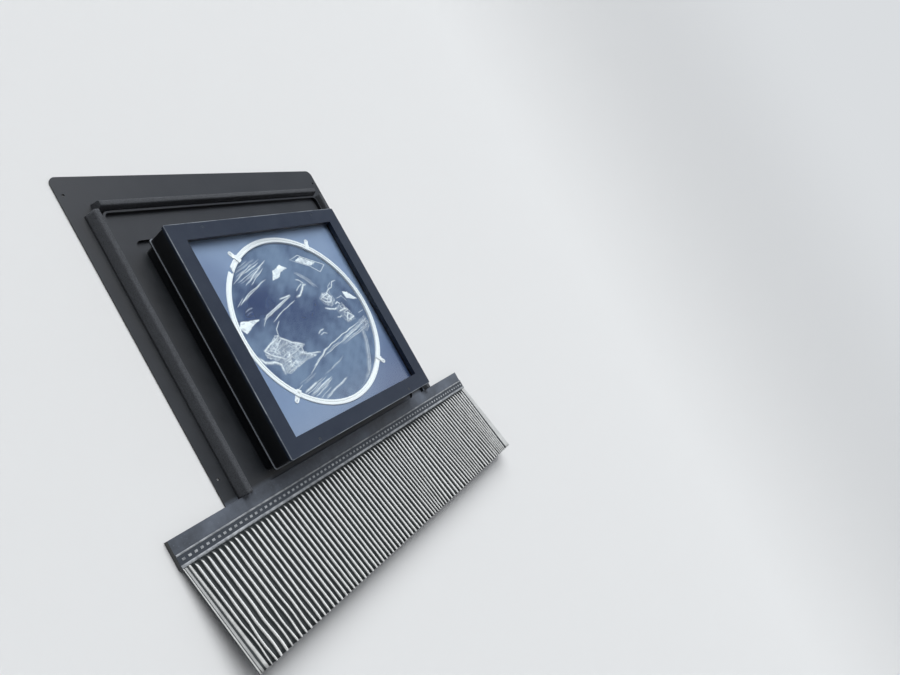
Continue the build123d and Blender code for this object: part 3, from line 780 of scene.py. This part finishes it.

# %% [markdown]
# ## Film: crinkled polythene across the ring
# A thin protective film is still stretched over the tube. It is clear and a little blue, pulled
# tight in most places, and where it was creased it is white: partly the film's own whitening and
# partly a painted highlight of the glint on its folds. A cloth simulation would wrinkle it somewhere
# else each time a value changed, so the larger folds are drawn as lines where the real ones lie, and
# each line raises a low ridge and whitens its crest. The finest folds run in bundles, and a seeded
# generator draws those.

# %% Film folds, in millimetres from the tube's axis
# Each line has a half width in millimetres, a whiteness and its points.
LINES = [
    (1.1, 1.0, [(-70, -105), (2, -70), (65, -54), (137, -40)]),
    (0.9, 0.8, [(-16, -83), (65, -65), (137, -49)]),
    (0.9, 0.8, [(60, -65), (120, -52), (168, -38)]),
    (0.8, 0.7, [(-137, 108), (-92, 131), (-70, 142)]),
    (0.8, 0.6, [(-119, 119), (-79, 137)]),
    (1.0, 1.0, [(-101, 104), (-56, 131), (-32, 144)]),
    (0.9, 0.8, [(-97, 99), (-70, 115), (-47, 128)]),
    (0.8, 0.7, [(-110, 100), (-84, 116)]),
    (1.0, 0.9, [(-146, 65), (-115, 83), (-56, 104)]),
    (0.8, 0.6, [(-155, 63), (-133, 77)]),
    (1.0, 0.9, [(-119, 14), (-101, 32), (-56, 47), (-16, 59)]),
    (0.8, 0.7, [(-112, 22), (-88, 34), (-50, 44)]),
    (1.0, 0.9, [(-92, 16), (-56, 32), (-11, 47)]),
    (1.8, 1.0, [(-47, 57), (-16, 60)]),
    (2.3, 1.0, [(0, 52), (12, 55), (25, 64), (34, 75), (42, 75)]),
    (1.4, 0.9, [(38, 78), (30, 87), (22, 90)]),
    (1.3, 0.8, [(8, 66), (18, 72), (31, 78)]),
    (1.1, 0.5, [(29, 104), (47, 88), (65, 65)]),
    (0.9, 0.4, [(36, 104), (56, 82), (74, 61)]),
    (1.8, 1.0, [(63, 34), (78, 40), (90, 42), (96, 32), (86, 22), (72, 26), (63, 34)]),
    (1.4, 0.9, [(66, 40), (80, 30), (92, 36), (86, 24)]),
    (2.0, 1.0, [(62, 12), (72, 8), (88, 4), (96, 6)]),
    (1.8, 0.9, [(97, 16), (107, 18), (112, 12)]),
    (2.2, 1.0, [(98, -3), (112, -1), (124, -3)]),
    (1.5, 0.8, [(82, -14), (90, -16), (97, -14)]),
    (2.0, 1.0, [(105, -29), (114, -18), (120, -12), (132, -24), (108, -29)]),
    (1.4, 0.8, [(108, -22), (120, -30), (126, -20)]),
    (1.3, 0.9, [(82, 40), (98, 50), (112, 54), (124, 66), (137, 67)]),
    (0.9, 0.6, [(98, 42), (104, 58), (118, 66)]),
    (0.9, 0.6, [(109, 26), (129, 30), (137, 14)]),
    (0.9, 0.7, [(137, -43), (161, -39), (167, -35)]),
    (0.8, 0.6, [(139, -57), (157, -51)]),
    (0.9, 0.6, [(153, -19), (173, -17)]),
    (1.5, 0.8, [(3, -35), (14, -30), (24, -29)]),
    (1.2, 0.7, [(8, -39), (20, -36), (28, -40)]),
    (2.2, 0.9, [(-108, -135), (-90, -130), (-70, -126)]),
    (0.8, 0.7, [(-133, -128), (-106, -119)]),
    (0.9, 0.9, [(-97, -144), (-61, -135), (-25, -127)]),
    (0.8, 0.8, [(-88, -150), (-55, -141), (-25, -130)]),
    (0.9, 0.8, [(-70, -164), (-25, -150), (15, -141)]),
    (0.8, 0.6, [(-92, -140), (-58, -130)]),
    (0.8, 0.6, [(-80, -157), (-40, -146)]),
    (1.2, 0.4, [(30, -177), (50, -170), (66, -163)]),
    (3.0, 0.9, [(-171, -41), (-162, -54), (-142, -59), (-129, -68), (-131, -86)]),
    (2.4, 0.9, [(-102, -16), (-76, -34), (-50, -46)]),
    (2.0, 1.0, [(-102, -16), (-126, -23), (-149, -33), (-140, -45), (-111, -61)]),
    (1.5, 0.8, [(-96, -20), (-112, -30), (-128, -40), (-120, -50)]),
    (1.3, 0.8, [(-111, -61), (-84, -55), (-59, -47)]),
    (1.5, 0.9, [(-58, -48), (-62, -64), (-18, -72)]),
    (1.2, 0.6, [(-62, -76), (-88, -82), (-112, -84)]),
    (1.1, 0.8, [(-99, -13), (-95, 2), (-79, 14)]),
    (1.0, 0.8, [(36, 135), (65, 142), (130, 108), (105, 95), (83, 113), (51, 128), (36, 135)]),
    (0.8, 0.7, [(80, 134), (105, 122), (97, 114)]),
    (5.5, 0.36, [(58, -170), (84, -153), (108, -121), (128, -86), (136, -60), (138, -42)]),
    (1.2, 0.5, [(66, -170), (92, -150), (116, -118), (134, -84), (142, -58)]),
]
# Bundles are groups of nearly parallel folds: how many, over what width, how white, from and to.
BUNDLES = [
    (7, 20, 0.8, (-131, 108), (-34, 142)), (4, 9, 0.8, (-99, 106), (-56, 124)),
    (3, 4, 0.9, (-144, 65), (-61, 103)), (5, 12, 0.45, (29, 104), (78, 57)),
    (4, 9, 0.8, (-112, 22), (-12, 58)), (5, 11, 0.6, (50, -72), (146, -46)),
    (3, 4, 0.9, (-56, -94), (11, -66)), (8, 20, 0.8, (-112, -148), (-25, -126)),
    (4, 8, 0.7, (-76, -164), (16, -142)), (3, 8, 0.4, (-118, -118), (-47, -104)),
    (3, 9, 0.5, (-150, 44), (-122, 52)), (3, 7, 0.5, (-40, -120), (40, -98)),
    (4, 24, 0.4, (-128, 122), (-40, 150)), (2, 9, 0.7, (-10, -76), (70, -58)),
    (5, 18, 0.7, (62, -66), (162, -46)), (4, 7, 0.7, (-108, 26), (-30, 54)),
]
# Each patch is crumpled all over: how white it is, how large its facets are, and its outline.
PATCHES = [
    (0.26, 9.0, [(-151, -38), (-108, -11), (-99, -13), (-88, -29), (-52, -47), (-65, -56), (-30, -74),
                 (-70, -78), (-119, -90), (-131, -83), (-124, -65), (-151, -47)]),
    (1.00, 9.0, [(-176, 22), (-166, 33), (-146, 31), (-122, 28), (-140, 22), (-166, 9)]),
    (1.00, 8.0, [(139, 38), (153, 34), (174, 13), (162, 15), (141, 22)]),
    (0.85, 8.0, [(-38, 99), (-25, 119), (0, 128), (15, 119), (-7, 113), (-16, 104)]),
    (0.10, 7.0, [(60, 36), (75, 48), (98, 44), (104, 24), (84, 12), (66, 20)]),
    (0.08, 7.0, [(92, 8), (118, 14), (130, -10), (134, -30), (104, -32), (94, -10)]),
    (0.10, 6.0, [(140, -36), (165, -30), (172, -50), (150, -66), (138, -56)]),
    (0.75, 8.0, [(51, 131), (69, 137), (105, 119), (87, 113)]),
]
# Paler and darker places, mostly painted reflections of the sky in the pane: strength, reach and place of
# each.
HAZE_AND_REFLECTION_SPOTS = [(-1.0, 42, -112, 50), (-0.85, 30, 46, 6), (-0.5, 34, -10, 32), (-0.5, 26, -128, 106),
        (-0.5, 45, -20, -18), (-0.5, 34, -70, 52), (-0.4, 22, -38, 72),
        (0.6, 70, 20, -115), (0.85, 55, 125, 115), (0.4, 45, -95, -150), (0.85, 45, 0, 150),
        (0.25, 35, 60, -20), (0.3, 30, -60, 96), (0.4, 50, 120, -80), (0.35, 25, -150, -20),
        (0.7, 30, 34, 64), (0.4, 26, -78, 132), (0.45, 38, -92, -100)]
print("lines:", len(LINES), "bundles:", len(BUNDLES))

# %% Folds of the bundles
THINNEST = 0.7
THICKEST = 1.1
SHORTEST = 0.4
KINK = 1.2

folds = list(LINES)
pick = np.random.default_rng(21)
for count, width, strength, start, end in BUNDLES:
    start, end = np.array(start, float), np.array(end, float)
    side_step = np.array([start[1] - end[1], end[0] - start[0]]) / np.hypot(*(end - start))
    for _ in range(count):
        off = side_step * pick.uniform(-width / 2, width / 2)
        a, b = np.sort(pick.uniform(0, 1, 2)) * (1 - SHORTEST) + [0.0, SHORTEST]
        kink = side_step * pick.uniform(-KINK, KINK)
        middle = start + (a + b) / 2 * (end - start) + off + kink
        run = [start + a * (end - start) + off, middle, start + b * (end - start) + off]
        folds.append((pick.uniform(THINNEST, THICKEST), strength * pick.uniform(0.5, 1.0), run))
print("lines drawn:", len(folds), "patches:", len(PATCHES))

# %% [markdown]
# ## Film: from lines to a sheet
# A plane could be displaced by a painted image, but this script reads none. A square grid is pressed
# into a disc, which keeps its cells about even, and each point's height and whiteness come from its
# distance to every fold. A few seeded sines bend the folds, and facets round seeded points crumple
# the patches.

# %% Film helpers
FILM_SUNK = 0.2
FAR = 1e9
SINES = 9

_, film_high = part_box("protective_film")
film_r = film_high.x / MM
film_z = film_high.z / MM - FILM_SUNK


def to_line(px, py, line):
    """Distance of each point to a run of straight pieces, and how far along it that is, 0 to 1."""
    line = np.array(line, float)
    length = np.linalg.norm(np.diff(line, axis=0), axis=1)
    before = np.concatenate([[0.0], np.cumsum(length)])
    best = np.full(px.shape, FAR)
    where = np.zeros(px.shape)
    for i in range(len(length)):
        ax, ay = line[i]
        bx, by = line[i + 1]
        part = np.clip(((px - ax) * (bx - ax) + (py - ay) * (by - ay)) / length[i] ** 2, 0, 1)
        gap = np.hypot(px - ax - part * (bx - ax), py - ay - part * (by - ay))
        closer = gap < best
        best = np.where(closer, gap, best)
        where = np.where(closer, (before[i] + part * length[i]) / before[-1], where)
    return best, where


def inside_of(px, py, ring):
    """True where a point lies inside a closed outline."""
    found = np.zeros(px.shape, bool)
    for (ax, ay), (bx, by) in zip(ring, ring[1:] + ring[:1]):
        crosses = (ay > py) != (by > py)
        edge = (bx - ax) * (py - ay) / (by - ay or TINY) + ax
        found ^= crosses & (px < edge)
    return found


def waves(px, py, size, seed, turn=0.0, stretch=1.0):
    """Smooth unevenness of about this size, mostly from -1 to 1: sines in seeded directions."""
    source = np.random.default_rng(seed)
    u = (px * cos(turn) + py * sin(turn)) / stretch
    v = -px * sin(turn) + py * cos(turn)
    total = np.zeros(px.shape)
    for _ in range(SINES):
        angle = source.uniform(0, 2 * pi)
        step = 2 * pi / (size * source.uniform(0.7, 1.6))
        total += np.sin((u * cos(angle) + v * sin(angle)) * step + source.uniform(0, 2 * pi))
    return total / (SINES / 2)


def shards(px, py, size, seed):
    """A level from -1 to 1 that jumps from facet to facet, each round one of many seeded points."""
    source = np.random.default_rng(seed)
    reach = film_r + size
    count = int((2 * reach / size) ** 2)
    spots = source.uniform(-reach, reach, (count, 2))
    nearest = np.full(px.shape, FAR)
    level = np.zeros(px.shape)
    for sx, sy in spots:
        gap = np.hypot(px - sx, py - sy)
        own = source.uniform(-1, 1)
        level = np.where(gap < nearest, own, level)
        nearest = np.minimum(nearest, gap)
    return level


print("film radius in mm:", round(film_r, 1))

# %% Film relief
FILM_CELLS = 308
SWELL = 0.25
RIPPLE = 0.12
STRAY = 0.7
FOLD_LIFT = 0.6
RIDGE_HALF = 0.85
FADE = 0.15

side = np.linspace(-1, 1, FILM_CELLS + 1)
u, v = np.meshgrid(side, side)
px = u * np.sqrt(1 - v * v / 2) * film_r
py = v * np.sqrt(1 - u * u / 2) * film_r
lift = SWELL * waves(px, py, 120, seed=3) + RIPPLE * waves(px, py, 34, seed=4, turn=radians(22), stretch=4.0)
crease_and_glint = np.zeros(px.shape)
ragged = 0.5 + 0.5 * waves(px, py, 7, seed=5)
bent_x = px + STRAY * waves(px, py, 27, seed=6)
bent_y = py + STRAY * waves(px, py, 23, seed=7)
# A fold keeps 0.4 of its height and 0.45 of its white at its ends, and its white is 0.3 ragged.
for width, strength, line in folds:
    gap, along = to_line(bent_x, bent_y, line)
    ends = smooth_step(along / FADE) * smooth_step((1 - along) / FADE)
    ridge = np.exp(-(gap / (RIDGE_HALF * width)) ** 2)
    lift += FOLD_LIFT * strength * ridge * (0.4 + 0.6 * ends)
    crease_and_glint = np.maximum(crease_and_glint, strength * ridge * (0.7 + 0.3 * ragged) * (0.45 + 0.55 * ends))
print("lift up to", round(lift.max(), 2), "mm")

# %% Crumpled patches
PATCH_RIM = 6
PATCH_EASE = 5
PATCH_LIFT = 0.4
FACET_LIFT = 0.5
HATCH_LIFT = 0.4
CROSS = 0.9
EDGE_HALF = 0.9

cloud = np.clip(0.6 + 0.6 * waves(px, py, 34, seed=18), 0.15, 1.3)
for number, (white, size, outline) in enumerate(PATCHES):
    rim, _ = to_line(bent_x, bent_y, outline + outline[:1])
    body = np.where(inside_of(bent_x, bent_y, outline), 1.0, 0.0)
    near_it = (body > 0) | (rim < PATCH_RIM)
    level = np.zeros(px.shape)
    level[near_it] = shards(px[near_it], py[near_it], size, 8 + number)
    hatch = np.exp(-(waves(px, py, size, 30 + number, radians(16), stretch=4.0) / 0.25) ** 2)
    cross = np.exp(-(waves(px, py, size, 50 + number, radians(-58), stretch=4.0) / 0.2) ** 2)
    hatch = np.maximum(hatch, CROSS * cross)
    lift += body * smooth_step(rim / PATCH_EASE) * (FACET_LIFT * level + HATCH_LIFT * hatch + PATCH_LIFT)
    inner = white * (0.85 + 0.3 * level) + 0.75 * cloud * hatch * (0.2 + 0.8 * ragged)
    crease_and_glint = np.maximum(crease_and_glint, body * inner)
    outer = np.exp(-(rim / EDGE_HALF) ** 2) * ragged * min(1.0, 0.2 + 1.6 * white)
    crease_and_glint = np.maximum(crease_and_glint, outer)
print("whitest crease:", round(crease_and_glint.max(), 2))

# %% Film haze and painted reflection
SPOT_GAIN = 0.55
TORN = 13
CONTRAST = 2.0

# Painted reflection: this level, from dark blue to pale, stands mostly for the sky that the pane mirrors,
# with a little of the film's own haze.
haze_and_reflection_level = 0.48 + 0.14 * waves(px, py, 60, 9, radians(25), 1.8)
haze_and_reflection_level += 0.15 * waves(px, py, 24, 17, radians(20), 1.6) + 0.06 * waves(px, py, 10, 19, radians(35), 2.0)
torn_x = px + TORN * waves(px, py, 70, seed=15)
torn_y = py + TORN * waves(px, py, 60, seed=16)
for strength, reach, haze_x, haze_y in HAZE_AND_REFLECTION_SPOTS:
    gap_squared = (torn_x - haze_x) ** 2 + (torn_y - haze_y) ** 2
    haze_and_reflection_level += SPOT_GAIN * strength * np.exp(-gap_squared / reach ** 2)
haze_and_reflection_level = 0.5 + 0.5 * np.tanh(CONTRAST * (haze_and_reflection_level - 0.5))
print("haze from", round(haze_and_reflection_level.min(), 2), "to", round(haze_and_reflection_level.max(), 2))

# %% Film mesh
FLAT_RIM = 6
LOWEST = -0.45
HIGHEST = 3.2
WHITENESS = 1.12

edge = smooth_step((film_r - np.hypot(px, py)) / FLAT_RIM)
lift = np.clip(lift * edge, LOWEST, HIGHEST)
top = np.stack([px, py, film_z + lift], axis=2)
count = FILM_CELLS + 1
mesh = new_mesh("crinkled_film", (top.reshape(-1, 3) * MM).tolist(), grid_faces(count, count).tolist())
for name, values in (("crease_and_glint", WHITENESS * crease_and_glint * edge), ("haze_and_reflection", haze_and_reflection_level)):
    store(mesh, name, np.clip(values, 0, 1).ravel())
film = put("crinkled_film", mesh)
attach(film, "root")
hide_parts("protective_film")
print("film lift in mm:", round(lift.min(), 2), "to", round(lift.max(), 2))

# %% [markdown]
# ## Film: the finish
# Polythene scatters a little light itself, which makes it a hazy blue over the dark tube. The haze
# value on each point turns it from dark to pale; it stands mostly for a painted reflection of darker
# and paler sky in the pane. Where the film is creased it scatters much more and looks white, and that
# white holds a painted highlight too. The crease value drives colour, gloss and how much shows through.

# %% Film finish
polythene, tree, surface = finish_named("creased_polythene_film", Roughness=0.2)
thickness = add(tree, "Attribute", attribute_name="haze_and_reflection").outputs["Fac"]
# Painted reflection: dark blue to pale blue-grey, mostly the sky that the pane mirrors.
haze_and_reflection = add(tree, "Mix", {0: thickness, A_COLOUR: linear("#0a2052"), B_COLOUR: linear("#7f94ac")},
           data_type="RGBA")
# The crease white is partly the film's own whitening and partly a painted highlight of the glint on its
# folds.
white_line = add(tree, "Attribute", attribute_name="crease_and_glint").outputs["Fac"]
tone = add(tree, "Mix", {0: white_line, A_COLOUR: haze_and_reflection.outputs[MIXED], B_COLOUR: linear("#fbfffd")},
           data_type="RGBA")
paint(tree, surface, tone)
dull = add(tree, "MapRange", {"Value": white_line, "To Min": 0.18, "To Max": 0.5})
tree.links.new(dull.outputs[0], surface.inputs["Roughness"])
solid = add(tree, "MapRange", {"Value": white_line, "To Min": 0.88, "To Max": 1.0})
tree.links.new(solid.outputs[0], surface.inputs["Alpha"])
film.data.materials.append(polythene)
print("film points:", len(film.data.vertices))

# %% [markdown]
# ## Foam strips
# Wedges of open-cell foam beside and above the skylight keep driven rain and snow out. The foam is
# cut from a block, so its faces are flat but not sharp, its edges have gone round, and its top is a
# little uneven where it has been pressed. A cube with a modifier would round all edges alike, so a
# section is drawn and repeated along the strip.

# %% Foam finish
foam_stuff, tree, surface = finish_named("open_cell_polyurethane_foam", Roughness=0.95)
where = add(tree, "TexCoord").outputs["Object"]
cell = add(tree, "TexVoronoi", {"Vector": where, "Scale": per_mm(1.6)}, feature="F1")
pore = add(tree, "MapRange", {"Value": cell.outputs["Distance"], "From Max": 0.6})
tone = add(tree, "Mix", {0: pore.outputs[0], A_COLOUR: linear("#26282b"), B_COLOUR: linear("#4b4e53")},
           data_type="RGBA")
paint(tree, surface, tone)
bump = add(tree, "Bump", {"Height": pore.outputs[0], "Distance": 0.5 * MM})
tree.links.new(bump.outputs["Normal"], surface.inputs["Normal"])
print("foam finish:", foam_stuff.name)

# %% Foam wedge
FOAM_STEP = 4.0
FOAM_EDGE = 1.6
FOAM_TOP_W = 10.0
FOAM_WIDTH = 0.98
ROUGH = 0.16
SINK = 0.35
SINK_MM = 90
SINKS_FROM = 10
SINKS_OVER = 15
OFF_FLOOR = 0.05


def foam_outline(width, height):
    """Half a wedge mirrored: points round the section with its corners taken off."""
    lean = (width - FOAM_TOP_W) / 2 / height
    half = [(width / 2 - FOAM_EDGE, 0.0), (width / 2, FOAM_EDGE * 0.6)]
    half += [(width / 2 - lean * height * share, height * share) for share in (0.2, 0.4, 0.6, 0.8)]
    half += [(FOAM_TOP_W / 2 + lean * 2 * FOAM_EDGE, height - 2 * FOAM_EDGE * 0.8),
             (FOAM_TOP_W / 2 - FOAM_EDGE * 0.2, height - FOAM_EDGE * 0.3),
             (FOAM_TOP_W / 2 - FOAM_EDGE * 1.4, height)]
    return half + [(0.0, height - 0.2)] + [(-x, z) for x, z in reversed(half)]


def wedge_faces(rows, count):
    """Faces round a row of equal sections, and one at each end."""
    faces = []
    for i in range(rows - 1):
        for j in range(count):
            a, b = i * count + j, i * count + (j + 1) % count
            faces.append([a, b, b + count, a + count])
    return faces + [list(range(count))[::-1], list(range((rows - 1) * count, rows * count))]


def make_foam(name, node, seed):
    """A wedge along the longer side of its node's box, uneven by about a millimetre."""
    low, high = (np.array(c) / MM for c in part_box(node))
    size = high - low
    run = 0 if size[0] > size[1] else 1
    outline = np.array(foam_outline(size[1 - run], size[2]))
    rows, count = int(size[run] / FOAM_STEP) + 1, len(outline)
    place = np.linspace(low[run], high[run], rows)
    middle = (low[1 - run] + high[1 - run]) / 2
    upper = np.clip((outline[:, 1] - SINKS_FROM) / SINKS_OVER, 0, 1)
    sink = waves(place, place * 0, SINK_MM, seed)[:, None] * upper
    rough = np.random.default_rng(seed).normal(0, ROUGH, (rows, count))
    height = low[2] + outline[:, 1] - SINK - SINK * sink - np.abs(rough)
    verts = np.zeros((rows, count, 3))
    verts[..., run] = place[:, None]
    verts[..., 1 - run] = middle + outline[:, 0] * FOAM_WIDTH - rough * np.sign(outline[:, 0])
    verts[..., 2] = np.maximum(height, low[2] + OFF_FLOOR)
    faces = wedge_faces(rows, count)
    if run == 0:
        faces = [face[::-1] for face in faces]
    piece = put(name, new_mesh(name, (verts.reshape(-1, 3) * MM).tolist(), faces, sharp=2))
    piece.data.materials.append(foam_stuff)
    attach(piece, "root")
    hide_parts(node)
    return piece


print("foam section in steps of", FOAM_STEP, "mm")

# %% Foam strips
FIRST_SEED = 20

for seed, node in enumerate(("foam_left", "foam_right", "foam_top"), FIRST_SEED):
    piece = make_foam("wedge_" + node, node, seed)
    print(piece.name, "faces:", len(piece.data.polygons))

# %% [markdown]
# ## Sizes at the end
# The box round everything that belongs to the object, with what this script built, is printed.
# What was built here must not grow the object.

# %% Box of the object
print("box with its looks:", corners())
